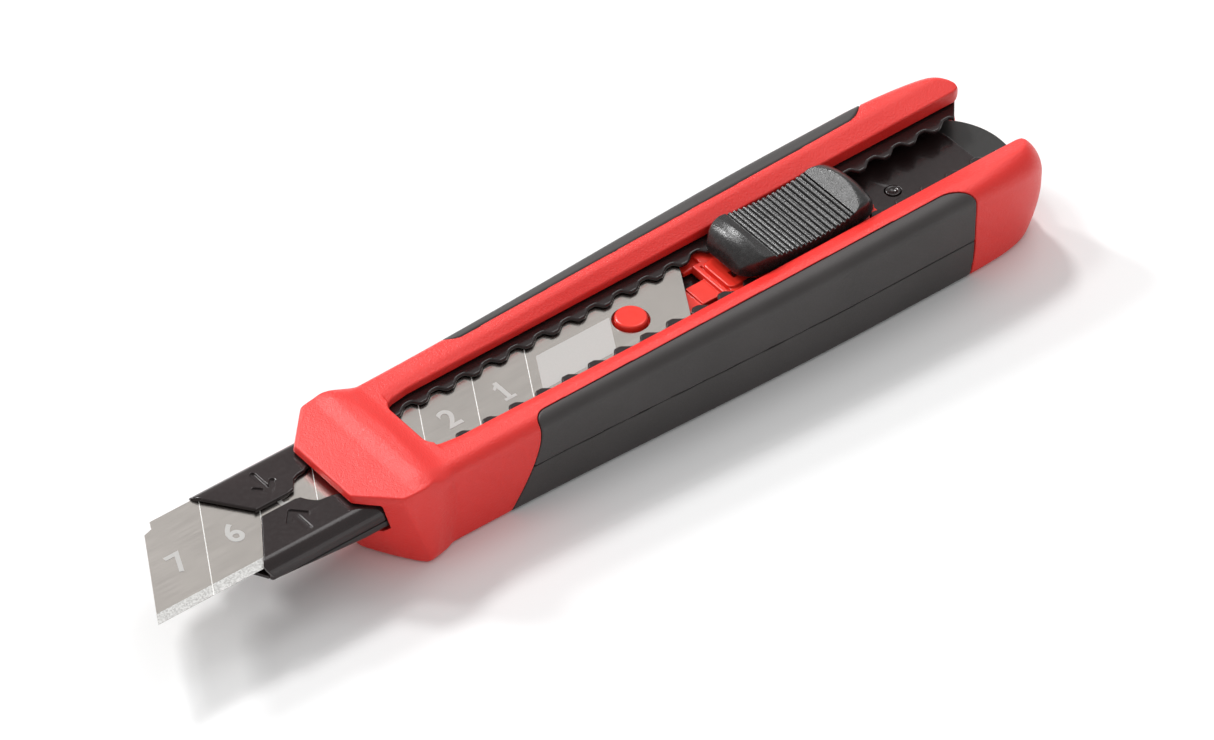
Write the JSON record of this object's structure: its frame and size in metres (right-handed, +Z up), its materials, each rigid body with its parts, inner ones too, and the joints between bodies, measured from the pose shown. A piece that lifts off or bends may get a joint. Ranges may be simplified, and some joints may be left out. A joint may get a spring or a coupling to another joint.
{
  "type": "utility knife",
  "caption": "Snap-off blade utility knife with a toothed steel channel, a locking thumb slider and a soft-touch handle, blade part way out.",
  "frame": {"origin": "centre of the flat underside of the handle", "axes": "+X along the knife towards the tail, -X to the blade tip, +Y towards the blade's spine, +Z up out of the window side"},
  "size_m": [0.1681, 0.0284, 0.0181],
  "materials": {
    "red_housing": "spark-textured moulded red plastic",
    "red_slider": "smooth moulded red plastic",
    "soft_grip": "satin soft-touch elastomer, charcoal",
    "black_plastic": "matt moulded black plastic",
    "black_pad": "fine-grained black plastic with a slight sparkle",
    "black_steel": "gloss black coated steel",
    "blade_steel": "satin ground carbon steel, brushed bevel",
    "spring_steel": "bright rolled spring steel"
  },
  "bodies": {
    "handle": {"housing": "red_housing", "grip_near": "soft_grip", "grip_far": "soft_grip", "base_shell": "soft_grip", "chassis": "black_plastic", "channel": "black_steel", "channel_rivet_front": "black_steel", "channel_rivet_rear": "black_steel"},
    "slider": {"blade": "blade_steel", "carriage": "red_slider", "lock_spring": "spring_steel"},
    "pad": {"thumb_pad": "black_pad", "lock_plate": "spring_steel"}
  },
  "joints": [
    {"name": "blade_slide", "type": "slide", "parent": "handle", "child": "slider", "axis": [1, 0, 0], "range_m": [-0.055, 0.025]},
    {"name": "pad_press", "type": "slide", "parent": "slider", "child": "pad", "axis": [0, 0, -1], "range_m": [0, 0.0007], "stiffness_N_per_m": 1200, "springref_m": -0.0003, "deforming": ["lock_spring"]}
  ]
}
